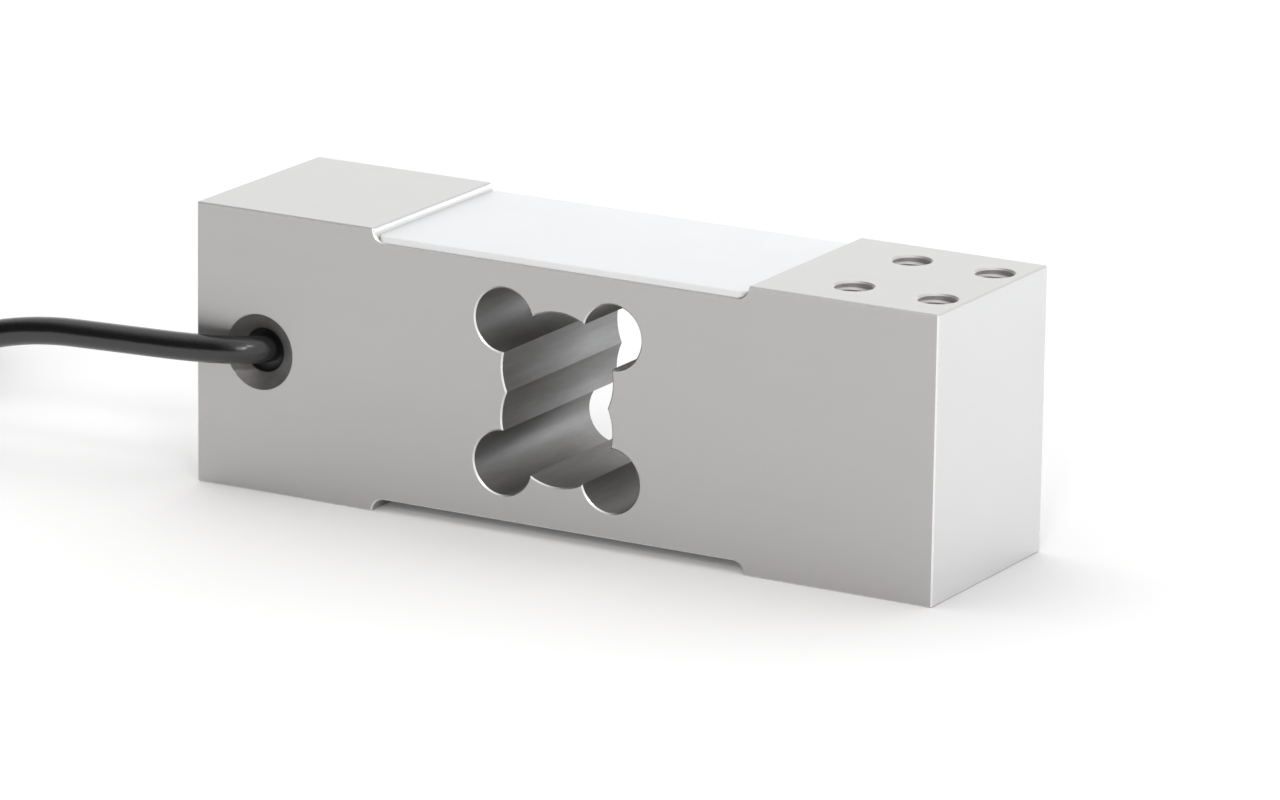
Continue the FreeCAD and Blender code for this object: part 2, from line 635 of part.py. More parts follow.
# The bridge board on the outlet's floor, with its pads and trimming resistors
board = doc.addObject("Part::Cylinder", "bridge_board")
board.Placement = FreeCAD.Placement(Vector(), FreeCAD.Rotation(Vector(1, 0, 0), -90))
bind(board, Radius="Size.outlet_radius - Size.board_clearance", Height="Size.board_thickness")
place(board, OUTLET_X, f"{OUTLET_FLOOR_Y} - Size.board_thickness", MID_HEIGHT)
keep(board, "bridge_board")
BOARD_FACE = f"{OUTLET_FLOOR_Y} - Size.board_thickness"
board_pads = []
for side, sign in SIDES.items():
    for i in range(len(ROWS)):
        reach = f"(Size.board_pad_start + {i} * Size.board_pad_pitch)"
        board_pads.append(
            box(
                f"ribbon_pad_{side}_{i}",
                ("Size.board_pad_side", "Size.pad_thickness", "Size.board_pad_side"),
                (
                    f"{OUTLET_X} + {reach} * {DUCT_RUN_X} / {DUCT_RUN} - Size.board_pad_side / 2",
                    f"{BOARD_FACE} - Size.pad_thickness",
                    f"{MID_HEIGHT} + {sign} * {reach} * {DUCT_RUN_Z} / {DUCT_RUN} - Size.board_pad_side / 2",
                ),
            )
        )
CORES = [(across, level) for across in (-1, 1) for level in (-1, 1)]
for number, (across, level) in enumerate(CORES):
    board_pads.append(
        box(
            f"core_pad_{number}",
            ("Size.core_pad_side", "Size.pad_thickness", "Size.core_pad_side"),
            (
                f"{OUTLET_X} - Size.core_pad_x + ({across} * Size.core_pad_pitch - Size.core_pad_side) / 2",
                f"{BOARD_FACE} - Size.pad_thickness",
                f"{MID_HEIGHT} + ({level} * Size.core_pad_pitch - Size.core_pad_side) / 2",
            ),
        )
    )
keep(group("Part::Compound", "board_pads", board_pads), "board_pads")
resistors = [
    box(
        f"trim_resistor_{side}",
        ("Size.resistor_length", "Size.resistor_height", "Size.resistor_width"),
        (
            f"{OUTLET_X} - Size.resistor_x - Size.resistor_length / 2",
            f"{BOARD_FACE} - Size.resistor_height",
            f"{MID_HEIGHT} + {sign} * Size.resistor_z - Size.resistor_width / 2",
        ),
    )
    for side, sign in SIDES.items()
]
keep(group("Part::Compound", "trim_resistors", resistors), "trim_resistors")

# The cable's route: out of the outlet, round to the fixed end, past it, down to the floor and up to the coil.
# Each point is X and Y from the middle of the outlet's mouth, and the height over the floor
ROUTE = [
    (0.9, 17.0, 30.3),
    (0.9, 11.4, 30.3),
    (0.6, 5.8, 30.6),
    (0.7, 0.8, 31.0),
    (-3.2, -3.3, 31.0),
    (-14.0, -4.7, 30.4),
    (-32.0, -6.3, 30.3),
    (-52.0, -7.0, 29.8),
    (-71.0, -7.3, 24.5),
    (-91.0, -7.1, 10.5),
    (-106.0, -7.0, 3.15),
    (-121.7, -7.0, 3.15),
]
route = [Vector(outlet_x, front_y, 0) + Vector(*point) for point in ROUTE]
cable_path, bend_radii = rounded_path(route)
cable = from_code("cable", tube(route, cable_radius))
keep(cable, "cable")
print("bend radii", [round(radius, 1) for radius in bend_radii])
expected_volume = math.pi * cable_radius**2 * cable_path.Length
print("cable volume over section times length", cable.Shape.Volume / expected_volume)

# The four cores from the cable's end to their pads, straight for a quarter of the way at both ends
pads_middle = Vector(outlet_x - size("core_pad_x"), board_face_y, mid_height)
pads_middle.y -= size("pad_thickness") + size("solder_gap")
straight = Vector(0, (pads_middle.y - route[0].y) / 4, 0)
cores = []
for across, level in CORES:
    start = route[0] + Vector(across, 0, level) * size("core_offset")
    on_pad = pads_middle + Vector(across, 0, level) * (size("core_pad_pitch") / 2)
    cores.append(wire([start, start + straight, on_pad - straight, on_pad], size("core_radius")))
keep(from_code("cable_cores", Part.Compound(cores)), "cable_cores")

# Potting round the cable, creeping up the outlet's wall
pot = doc.addObject("PartDesign::Body", "pot")
pot_section = sketch_on(pot, "pot_section", "XY_Plane", MID_HEIGHT)
bind(pot_section, AttachmentOffset__Base__x=OUTLET_X)
creep, bore = size("potting_creep"), size("outlet_radius")
front = front_y + size("potting_face_depth")
back = front + size("potting_length")
face, slope, wall, rear, axis = outline(
    pot_section,
    [(0, front), (bore - creep, front), (bore, front - creep), (bore, back), (0, back)],
    ("Horizontal", "slanting", "Vertical", "Horizontal", "Vertical"),
)
FRONT = "Size.potting_face_depth - Size.block_width / 2"
hold(pot_section, face, 1, None, (front, FRONT))
hold(pot_section, wall, 1, (bore, "Size.outlet_radius"), (front - creep, f"{FRONT} - Size.potting_creep"))
measure(pot_section, "DistanceX", slope, 1, bore - creep, "Size.outlet_radius - Size.potting_creep")
measure(pot_section, "DistanceY", rear, 1, back, f"{FRONT} + Size.potting_length")
turn(pot, "turned", pot_section)
keep(cut_away("potting", pot, [cable]), "potting")

# The wound cable: a ring of turns, the straight cable that leads into it and the last turn on top of it
coil_middle = route[-1] + Vector(
    -size("coil_lead_in"), size("coil_radius") + (size("coil_columns") - 1) * cable_radius, -route[-1].z
)
ring_body = doc.addObject("PartDesign::Body", "coil_ring")
ring_section = sketch_on(ring_body, "coil_section", "XZ_Plane")
half_width = size("coil_columns") * cable_radius + size("coil_margin")
ring_height = size("coil_layers") * size("cable_diameter") + 2 * size("coil_margin")
inner, outer = size("coil_radius") - half_width, size("coil_radius") + half_width
HALF = "(Size.coil_columns * Size.cable_diameter / 2 + Size.coil_margin)"
RING_HEIGHT = "Size.coil_layers * Size.cable_diameter + 2 * Size.coil_margin"
rectangle(
    ring_section,
    (inner, f"Size.coil_radius - {HALF}"),
    (outer, f"Size.coil_radius + {HALF}"),
    (ring_height, RING_HEIGHT),
)
swept = turn(ring_body, "swept", ring_section)
doc.recompute()
soft_edges = ring_body.newObject("PartDesign::Chamfer", "soft_edges")
soft_edges.Base = (swept, edges_where(swept.Shape, lambda box: box.ZLength < NEAR))
bind(soft_edges, Size="Size.cable_diameter / 4")
ring_body.Placement = FreeCAD.Placement(coil_middle, FreeCAD.Rotation())
lead_in = doc.addObject("Part::Cylinder", "coil_lead_in")
lead_in.Placement = FreeCAD.Placement(route[-1], FreeCAD.Rotation(Vector(0, 1, 0), -90))
bind(lead_in, Radius="Size.cable_diameter / 2", Height="Size.coil_lead_in")


def on_coil(angle, radius, z):
    """A point over the coil, at an angle in degrees and a distance from its middle."""
    return coil_middle + FreeCAD.Rotation(UP, angle).multVec(Vector(radius, 0, z))


def round_coil(angle):
    """The heading of a cable that runs clockwise round the coil."""
    return FreeCAD.Rotation(UP, angle).multVec(Vector(0, -1, 0))


def along_coil(start, span, count, from_z, to_z):
    """Corners of a many-sided path that follows the middle of the turns clockwise."""
    corner_radius = size("coil_radius") / math.cos(math.radians(span / count / 2))
    shares = [(i + 0.5) / count for i in range(count)]
    rise = to_z - from_z
    return [on_coil(start - span * share, corner_radius, from_z + rise * share) for share in shares]


radius = size("coil_radius")
rest_z = ring_height + size("rest_gap") + cable_radius + size("sleeve_wall")
under_z = ring_height - size("coil_margin") - cable_radius
CLIMB_STEPS, TURN_STEPS, COIL_FLATS = 2, 12, 12
climb, last_turn = size("coil_climb"), size("coil_last_turn")
top_start = -90
top_end = top_start - last_turn
tail_heading = round_coil(top_end)
cable_end = on_coil(top_end, radius, rest_z) + tail_heading * size("tail_length")
top_points = [
    on_coil(top_start + climb, radius, under_z),
    *along_coil(top_start + climb, climb, CLIMB_STEPS, under_z, rest_z),
    *along_coil(top_start, last_turn, TURN_STEPS, rest_z, rest_z),
    cable_end,
]
top_turn = from_code("coil_top_turn", wire(top_points, cable_radius, COIL_FLATS))
coil = group("Part::MultiFuse", "cable_coil", [ring_body, lead_in, top_turn])
keep(coil, "cable_coil")

# The stripped leads: out of the sleeve, down onto the coil and round with it, spread like a fan
tail_side = UP.cross(tail_heading) * -1
outward = tail_side if (cable_end - coil_middle).dot(tail_side) > 0 else tail_side * -1
nose_end = size("sleeve_length") - size("sleeve_overlap") + size("lead_start")
nose = cable_end + tail_heading * nose_end - coil_middle
nose_angle = math.degrees(math.atan2(nose.y, nose.x))
nose_radius = math.hypot(nose.x, nose.y)
LEADS = {
    "lead_red": (-2, -1, -1),
    "lead_black": (-1, -1, 1),
    "drain_lead": (0, 0, 0),
    "lead_green": (1, 1, 1),
    "lead_white": (2, 1, -1),
}
LEAD_STEPS = 6
FAN_OPEN = 0.625  # share of the way by which the leads lie apart
leads, tips = [], []
for name, (place_across, side, level) in LEADS.items():
    thickness = size("core_radius") if side else size("drain_radius")
    offset = outward * (side * size("core_offset")) + UP * (level * size("core_offset"))
    start = cable_end + offset
    points = [start, start + tail_heading * nose_end]
    low = ring_height + size("rest_gap") + thickness
    for i in range(1, LEAD_STEPS + 1):
        along = i / LEAD_STEPS
        spread = min(1, along / FAN_OPEN)
        eased = spread * spread * (3 - 2 * spread)
        from_radius = nose_radius + side * size("core_offset")
        to_radius = radius + place_across * size("lead_spread")
        z = rest_z + level * size("core_offset")
        angle = nose_angle - size("lead_span") * along
        points.append(on_coil(angle, from_radius + (to_radius - from_radius) * eased, z + (low - z) * eased))
    leads.append(keep(from_code(name, wire(points, thickness)), name))
    if side:
        tip_end = points[-1] + unit(points[-1] - points[-2]) * size("tip_length")
        tips.append(wire([points[-1], tip_end], size("tip_radius")))
keep(from_code("lead_tips", Part.Compound(tips)), "lead_tips")

# The shrink sleeve over the cable's end, closed down round the leads
facing = FreeCAD.Rotation(UP, tail_heading)


def shrunk(name, radius, nose_radius):
    """A tube shape over the cable's end with a tapered nose beyond it."""
    straight = doc.addObject("Part::Cylinder", f"{name}_straight")
    straight.Placement = FreeCAD.Placement(cable_end - tail_heading * size("sleeve_overlap"), facing)
    bind(straight, Radius=radius, Height="Size.sleeve_length - Size.nose_length")
    taper = doc.addObject("Part::Cone", f"{name}_taper")
    before_nose = size("sleeve_length") - size("nose_length") - size("sleeve_overlap")
    taper.Placement = FreeCAD.Placement(cable_end + tail_heading * before_nose, facing)
    bind(taper, Radius1=radius, Radius2=nose_radius, Height="Size.nose_length")
    return group("Part::MultiFuse", name, [straight, taper])


outside = shrunk("sleeve_outside", "Size.cable_diameter / 2 + Size.sleeve_wall", "Size.sleeve_nose_radius")
inside = shrunk("sleeve_inside", "Size.cable_diameter / 2", "Size.sleeve_nose_radius - Size.sleeve_wall")
keep(cut_away("end_sleeve", outside, [inside]), "end_sleeve")

doc.recompute()
faults = [thing.Name for thing in doc.Objects if {"Invalid", "Error"} & set(thing.State)]
faults += [thing.Label for thing in parts if thing.Shape.isNull() or not thing.Shape.isValid()]
if faults:
    print("not built:", faults)
    sys.exit(1)
for thing in parts:
    thing.Shape.exportStep(f"parts/{thing.Label}.step")
    print(thing.Label, len(thing.Shape.Solids), "solids", round(thing.Shape.Volume, 2), "mm3")
print(len(parts), "parts written")
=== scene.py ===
# %% [markdown]
# # A single point load cell on a white table
# The object is a bar of aluminium that bends a little under a load. A pocket of four bores and two lobes leaves it thin
# in four places, two above the pocket and two below. Over each sits a strain gauge under white silicone, and a black
# cable leaves by a bore in the side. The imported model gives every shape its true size, so this script only adds what
# the eye needs: smooth shading, threads in the tapped holes, soft cable curves, surface finishes, light and the camera.

import json
import math

import bpy
from mathutils import Matrix, Vector


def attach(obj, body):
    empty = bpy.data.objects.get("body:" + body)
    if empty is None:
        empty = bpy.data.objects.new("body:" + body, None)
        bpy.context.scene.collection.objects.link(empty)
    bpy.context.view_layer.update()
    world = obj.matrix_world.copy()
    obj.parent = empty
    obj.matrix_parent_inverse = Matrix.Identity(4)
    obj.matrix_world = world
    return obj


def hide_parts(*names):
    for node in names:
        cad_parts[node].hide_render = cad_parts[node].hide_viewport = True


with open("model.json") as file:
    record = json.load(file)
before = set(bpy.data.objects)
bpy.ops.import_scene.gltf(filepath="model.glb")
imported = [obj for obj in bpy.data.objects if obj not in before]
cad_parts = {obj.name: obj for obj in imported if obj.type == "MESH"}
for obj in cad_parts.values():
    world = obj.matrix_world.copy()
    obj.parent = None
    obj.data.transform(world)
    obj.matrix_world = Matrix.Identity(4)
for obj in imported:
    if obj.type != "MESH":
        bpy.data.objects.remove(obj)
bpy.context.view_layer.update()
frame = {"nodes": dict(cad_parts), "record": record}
MM = 0.001

# %% [markdown]
# ## The camera
# A long lens far away keeps the bar's edges nearly parallel, as a catalogue photograph does. The camera could be aimed
# with a constraint, but a plain turn by azimuth, elevation and roll is easier to read and to repeat.

# %% Set up the camera
CAMERA_PLACE = Vector((0.78038, -1.36911, 0.45368))
CAMERA_AZIMUTH, CAMERA_ELEVATION, CAMERA_ROLL = 29.491, 15.214, 0.811
CAMERA_LENS, SENSOR_WIDTH = 221.20, 36


def new_object(name, data):
    """A new object in the scene."""
    made = bpy.data.objects.new(name, data)
    bpy.context.scene.collection.objects.link(made)
    return made


camera = new_object("camera", bpy.data.cameras.new("camera"))
camera.data.sensor_width = SENSOR_WIDTH
camera.data.lens = CAMERA_LENS
turn = (
    Matrix.Rotation(math.radians(CAMERA_AZIMUTH), 3, "Z")
    @ Matrix.Rotation(math.radians(90 - CAMERA_ELEVATION), 3, "X")
    @ Matrix.Rotation(math.radians(CAMERA_ROLL), 3, "Z")
)
camera.matrix_world = Matrix.Translation(CAMERA_PLACE) @ turn.to_4x4()
bpy.context.scene.camera = camera
print("camera lens", camera.data.lens, "mm")

# %% [markdown]
# ## Shader sums
# A finish is easiest to read as a formula. Each output of a shader node is wrapped in a small class that knows how to
# add, subtract, multiply and compare, and one function makes any node. The nodes could be linked one by one, but then
# a sum of three patterns takes ten lines. Numbers alone are still worked out in plain Python.


# %% A shader output that joins in sums
class Signal:
    """One output of a shader node."""

    def __init__(self, socket):
        self.socket = socket

    def out(self, name):
        """Another output of the same node."""
        return Signal(self.socket.node.outputs[name])

    def math(self, operation, first, second):
        return node(self.socket.id_data, "ShaderNodeMath", {"operation": operation}, {0: first, 1: second})

    def __add__(self, other):
        return self.math("ADD", self, other)

    def __radd__(self, other):
        return self.math("ADD", other, self)

    def __sub__(self, other):
        return self.math("SUBTRACT", self, other)

    def __rsub__(self, other):
        return self.math("SUBTRACT", other, self)

    def __mul__(self, other):
        return self.math("MULTIPLY", self, other)

    def __rmul__(self, other):
        return self.math("MULTIPLY", other, self)

    def __lt__(self, other):
        return self.math("LESS_THAN", self, other)


def node(tree, kind, settings=None, inputs=None, output=0):
    """Makes a node, first its settings and then its inputs, which are values or signals."""
    made = tree.nodes.new(kind)
    for name, value in (settings or {}).items():
        setattr(made, name, value)
    for name, value in (inputs or {}).items():
        if isinstance(value, Signal):
            tree.links.new(value.socket, made.inputs[name])
        else:
            made.inputs[name].default_value = value
    return Signal(made.outputs[output])


# %% Make a material and feed its shader
def new_material(name, **constants):
    """A material with one Principled shader, whose constants are set on its own sockets."""
    material = bpy.data.materials.new(name)
    material.use_nodes = True
    shader = material.node_tree.nodes["Principled BSDF"]
    for socket, value in constants.items():
        shader.inputs[socket.replace("_", " ")].default_value = value
    return material, material.node_tree, shader


def feed(tree, shader, **signals):
    """Links signals to the shader's sockets of the same names."""
    for socket, signal in signals.items():
        tree.links.new(signal.socket, shader.inputs[socket.replace("_", " ")])


# %% Patterns, mixed colours and bumps
def place_on_piece(tree, stretch=(1, 1, 1)):
    """Where on the piece a point is, in metres, stretched for a pattern that runs one way."""
    where = node(tree, "ShaderNodeTexCoord", output="Object")
    return node(tree, "ShaderNodeMapping", None, {"Vector": where, "Scale": stretch})


def noise(tree, where, scale, detail=2.0, roughness=0.5):
    """A soft random pattern from 0 to 1."""
    return node(
        tree, "ShaderNodeTexNoise", None, {"Vector": where, "Scale": scale, "Detail": detail, "Roughness": roughness}
    )


# The Mix node has one set of sockets for each kind of value, under the same names, so those for colours go by number
MIX_AMOUNT, MIX_FIRST, MIX_SECOND, MIX_RESULT = 0, 6, 7, 2


def mix_colours(tree, amount, first, second):
    """A colour between two others."""
    inputs = {MIX_AMOUNT: amount, MIX_FIRST: first, MIX_SECOND: second}
    return node(tree, "ShaderNodeMix", {"data_type": "RGBA"}, inputs, MIX_RESULT)


def bump(tree, height, depth):
    """A normal that makes a pattern of heights look raised by a depth in metres."""
    return node(tree, "ShaderNodeBump", None, {"Height": height, "Distance": depth}, "Normal")


# %% [markdown]
# ## The aluminium
# The bar is sawn from extruded stock and milled, so its faces have a satin sheen with very fine lines along the bar.
# A metal has no colour of its own beyond its reflection: the base colour sets how much of the white room it gives
# back. The lines are noise that is stretched along X, and they feed both the roughness and a very shallow bump.
# Inside the pocket and in the cable outlet's mouth the wall is duller, with marks that run along Y in the pocket, and
# its colour is much darker: painted shade for the shade that falls deep in these hollows. A mask made of three
# distances picks out each of those places. The broken edges were cut last with a sharp tool and are glossier, and a
# lighter colour on them is a painted highlight, so that they shine like a bright line. They are the only places on the
# two sides that face half sideways, so another mask reads the normal there.

# %% Find the dull walls that carry painted shade, and the broken edges that carry a painted highlight
POCKET_MIDDLE, POCKET_REACH = (0, 0, 0.0304), (0.021, 0.0237, 0.0235)
OUTLET_MIDDLE, OUTLET_REACH = (-0.072, -0.0227, 0.0304), (0.0083, 0.00125, 0.0083)
INSIDE_THE_SIDES = 0.0236
aluminium, tree, shader = new_material("satin_aluminium", Metallic=1.0)
where = node(tree, "ShaderNodeTexCoord", output="Object")
place = node(tree, "ShaderNodeSeparateXYZ", None, {"Vector": where}, "X")


def within(signal, middle, reach):
    """1 where a signal is nearer to a value than a reach, and 0 elsewhere."""
    distance = signal - middle
    return distance.math("ABSOLUTE", distance, 0) < reach


def within_box(place, middle, reach):
    """1 inside a box round a point, and 0 elsewhere."""
    along, across, upward = (within(place.out(axis), middle[i], reach[i]) for i, axis in enumerate("XYZ"))
    return along * across * upward


inside = within_box(place, POCKET_MIDDLE, POCKET_REACH)
# The mask of the pocket and outlet-mouth walls, which are rougher and also carry painted shade
dull_and_shaded = inside.math("MAXIMUM", inside, within_box(place, OUTLET_MIDDLE, OUTLET_REACH))
facing = node(tree, "ShaderNodeTexCoord", output="Normal")
sideways = node(tree, "ShaderNodeSeparateXYZ", None, {"Vector": facing}, "Y")
half_sideways = within(sideways * sideways, 0.5, 0.2)
# The mask of the broken edges, which get a real lower roughness and a lighter colour that is a painted highlight
polished_and_highlit_edge = half_sideways * (1 - within(place.out("Y"), 0, INSIDE_THE_SIDES))
print("shader nodes of the masks:", len(tree.nodes))

# %% Satin milled aluminium
ALONG_X, ALONG_Y = (25, 1400, 1400), (500, 60, 500)
BUMP_DEPTH, CHATTER_DEPTH = 0.00001, 3
clouds = noise(tree, place_on_piece(tree), 18, 3)
lines = noise(tree, place_on_piece(tree, ALONG_X), 1, 3, 0.6)
chatter = noise(tree, place_on_piece(tree, ALONG_Y), 1, 3, 0.6)
grain = noise(tree, place_on_piece(tree), 2600, 2)
shade = 0.6 * clouds + 0.25 * lines + 0.15 * grain
face_colour = mix_colours(tree, shade, (0.56, 0.553, 0.547, 1), (0.64, 0.634, 0.628, 1))
# Painted highlight: the broken edges take a much lighter colour than the faces
outside_with_edge_highlight = mix_colours(tree, polished_and_highlit_edge, face_colour, (0.86, 0.86, 0.86, 1))
# Painted shade: a much darker aluminium for the walls inside the pocket and the outlet's mouth, varied by the chatter
# marks
painted_shade_colour = mix_colours(tree, chatter, (0.21, 0.206, 0.202, 1), (0.35, 0.344, 0.338, 1))
feed(
    tree,
    shader,
    Base_Color=mix_colours(tree, dull_and_shaded, outside_with_edge_highlight, painted_shade_colour),
    Roughness=0.40 + 0.12 * lines + 0.05 * clouds + 0.1 * dull_and_shaded - 0.2 * polished_and_highlit_edge,
    Normal=bump(tree, lines + 0.5 * grain + CHATTER_DEPTH * inside * chatter, BUMP_DEPTH),
)
print("shader nodes of the aluminium:", len(tree.nodes))

# %% [markdown]
# ## Silicone, sheath, resin and the small parts
# The silicone was poured and levelled itself, so it is smooth with very slow waves. The sheath is soft black PVC with
# a fine skin, and the resin in the outlet set with a soft shine. These and all the small parts start from one helper,
# because only their colour, gloss and the size of their unevenness differ.

# %% Plain coloured finishes
FINE_SCALE, FINE_DEPTH = 9, 0.15
GLOSS_SWING = 0.12


def plain_finish(name, dark, light, roughness, wave_scale, wave_depth, metallic=0.0, specular=0.5):
    """A finish of one colour, slightly cloudy, on a gently uneven surface."""
    material, tree, shader = new_material(name, Metallic=metallic, Specular_IOR_Level=specular)
    waves = noise(tree, place_on_piece(tree), wave_scale, 2)
    fine = noise(tree, place_on_piece(tree), wave_scale * FINE_SCALE, 2)
    feed(
        tree,
        shader,
        Base_Color=mix_colours(tree, waves, (*dark, 1), (*light, 1)),
        Roughness=roughness - GLOSS_SWING / 2 + GLOSS_SWING * fine,
        Normal=bump(tree, waves + FINE_DEPTH * fine, wave_depth),
    )
    return material


# For each slot its dark and light colour, roughness, scale and depth of the waves, and where needed how metallic it is
# and how strongly it reflects
FINISHES = {
    "silicone": ((0.73, 0.74, 0.75), (0.77, 0.78, 0.79), 0.45, 60, 0.0002),
    "potting_resin": ((0.005, 0.005, 0.006), (0.009, 0.009, 0.010), 0.4, 150, 0.0001),
    "cable_sheath": ((0.005, 0.005, 0.006), (0.011, 0.011, 0.012), 0.25, 900, 0.00004, 0.0, 0.8),
    "shrink_sleeve": ((0.012, 0.012, 0.013), (0.02, 0.02, 0.02), 0.5, 500, 0.00005),
    "gauge_film": ((0.55, 0.33, 0.10), (0.66, 0.44, 0.18), 0.3, 300, 0.00001),
    "gauge_foil": ((0.50, 0.47, 0.43), (0.60, 0.57, 0.53), 0.35, 600, 0.000005, 1.0),
    "strip_laminate": ((0.06, 0.20, 0.09), (0.10, 0.28, 0.13), 0.4, 400, 0.00001),
    "board_laminate": ((0.04, 0.16, 0.08), (0.07, 0.23, 0.11), 0.35, 300, 0.00001),
    "solder": ((0.66, 0.66, 0.64), (0.76, 0.76, 0.75), 0.25, 900, 0.00002, 1.0),
    "enamelled_copper": ((0.50, 0.20, 0.08), (0.62, 0.30, 0.13), 0.25, 500, 0.000005, 1.0),
    "ribbon_insulation": ((0.62, 0.62, 0.58), (0.72, 0.72, 0.68), 0.4, 500, 0.00001),
    "resistor_body": ((0.02, 0.02, 0.022), (0.04, 0.04, 0.045), 0.4, 600, 0.00001),
    "core_insulation": ((0.30, 0.30, 0.31), (0.40, 0.40, 0.41), 0.4, 500, 0.00001),
    "lead_red": ((0.50, 0.02, 0.02), (0.60, 0.03, 0.03), 0.32, 500, 0.00001),
    "lead_black": ((0.015, 0.015, 0.015), (0.03, 0.03, 0.03), 0.32, 500, 0.00001),
    "lead_green": ((0.02, 0.26, 0.07), (0.03, 0.34, 0.10), 0.32, 500, 0.00001),
    "lead_white": ((0.78, 0.78, 0.76), (0.86, 0.86, 0.84), 0.32, 500, 0.00001),
    "tinned_copper": ((0.60, 0.60, 0.58), (0.74, 0.74, 0.72), 0.3, 3000, 0.00002, 1.0),
}
finishes = {slot: plain_finish(slot, *values) for slot, values in FINISHES.items()}
finishes["aluminium_body"] = aluminium
slots = {entry["node"]: entry["material_slot"] for entry in frame["record"]["subparts"]}
for name, thing in frame["nodes"].items():
    thing.data.materials.clear()
    thing.data.materials.append(finishes[slots[name]])
print("finishes:", len(finishes))

# %% [markdown]
# ## Smooth copies of the solids
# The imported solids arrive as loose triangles, and a bore made of flat strips looks like a barrel. Merging a copy's
# corners and shading it smooth below a small angle turns the strips into a round wall and keeps real edges sharp. The
# resin's top creeps up the wall in steeper steps, so it stays smooth up to a wider angle.

# %% Merge and smooth the pieces that show
MERGE_DISTANCE = 0.000002
SHARP_ABOVE, RESIN_SHARP_ABOVE = 25, 60


def select_only(piece):
    """Makes a piece the active one and the only one that is selected."""
    bpy.ops.object.select_all(action="DESELECT")
    bpy.context.view_layer.objects.active = piece
    piece.select_set(True)


def hand_over(piece, slot, *stands_for):
    """Gives a piece its finish, hides the CAD nodes that it stands for and hangs it under the root body."""
    piece.data.materials.clear()
    piece.data.materials.append(finishes[slot])
    if stands_for:
        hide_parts(*stands_for)
    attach(piece, "root")


def smooth_copy(node_name, piece_name, sharp_above=SHARP_ABOVE):
    """A merged and smoothly shaded copy that stands for a CAD node."""
    piece = new_object(piece_name, frame["nodes"][node_name].data.copy())
    select_only(piece)
    bpy.ops.mesh.customdata_custom_splitnormals_clear()
    bpy.ops.object.mode_set(mode="EDIT")
    bpy.ops.mesh.select_all(action="SELECT")
    bpy.ops.mesh.remove_doubles(threshold=MERGE_DISTANCE)
    bpy.ops.object.mode_set(mode="OBJECT")
    bpy.ops.object.shade_smooth_by_angle(angle=math.radians(sharp_above))
    hand_over(piece, slots[node_name], node_name)
    return piece


beam = smooth_copy("spring_body", "beam")
for side in ("top", "bottom"):
    smooth_copy(f"coating_{side}", f"silicone_{side}")
smooth_copy("potting", "outlet_resin", RESIN_SHARP_ABOVE)
sleeve = smooth_copy("end_sleeve", "shrunk_sleeve")
print("beam corners:", len(beam.data.vertices))

# %% [markdown]
# ## The threads
# The solid's tapped holes are plain bores, so the thread is added here. A thread is one ridge that winds round the
# wall. Its section is a small trapezoid, wide where it meets the wall and narrow at the crest, and a Screw modifier
# winds it up. A bump could fake the ridges, but the eye looks straight into these holes. One thread is modelled and
# copied into all eight holes. The lower four are the same thread turned upside down, which keeps it right-handed.

# %% Wind one thread
THREAD_PITCH, THREAD_TURNS, THREAD_STEPS = 1.25, 11, 32
WALL_RADIUS, CREST_RADIUS = 4.02, 3.35
ROOT_WIDTH, CREST_WIDTH = 1.09, 0.31
THREAD_START = 0.4


def edit(piece, keep_selected=None):
    """Enters edit mode with everything selected, or only the points that pass a test."""
    select_only(piece)
    bpy.ops.object.mode_set(mode="EDIT")
    bpy.ops.mesh.select_mode(type="VERT")
    bpy.ops.mesh.select_all(action="SELECT" if keep_selected is None else "DESELECT")
    if keep_selected is not None:
        bpy.ops.object.mode_set(mode="OBJECT")
        for point in piece.data.vertices:
            point.select = keep_selected(point.co)
        bpy.ops.object.mode_set(mode="EDIT")


bpy.ops.object.select_all(action="DESELECT")
middle_radius = (WALL_RADIUS + CREST_RADIUS) / 2
bpy.ops.mesh.primitive_plane_add(size=1, location=(middle_radius * MM, 0, 0), rotation=(math.radians(90), 0, 0))
thread = bpy.context.object
bpy.ops.object.transform_apply(location=False, rotation=True, scale=False)
edit(thread)
bpy.ops.transform.resize(value=((WALL_RADIUS - CREST_RADIUS) * MM, 1, ROOT_WIDTH * MM))
bpy.ops.object.mode_set(mode="OBJECT")
edit(thread, lambda point: point.x < 0)
bpy.ops.transform.resize(value=(1, 1, CREST_WIDTH / ROOT_WIDTH))
bpy.ops.mesh.select_all(action="SELECT")
bpy.ops.mesh.delete(type="ONLY_FACE")
bpy.ops.object.mode_set(mode="OBJECT")
bpy.ops.object.transform_apply(location=True, rotation=True, scale=True)
bpy.ops.object.modifier_add(type="SCREW")
winding = thread.modifiers[-1]
winding.screw_offset = THREAD_PITCH * MM
winding.iterations = THREAD_TURNS
winding.steps = winding.render_steps = THREAD_STEPS
bpy.ops.object.modifier_apply(modifier=winding.name)
edit(thread)
bpy.ops.mesh.fill_holes(sides=0)
bpy.ops.mesh.normals_make_consistent(inside=False)
bpy.ops.object.mode_set(mode="OBJECT")
bpy.ops.object.shade_smooth_by_angle(angle=math.radians(SHARP_ABOVE))
print("thread faces:", len(thread.data.polygons))

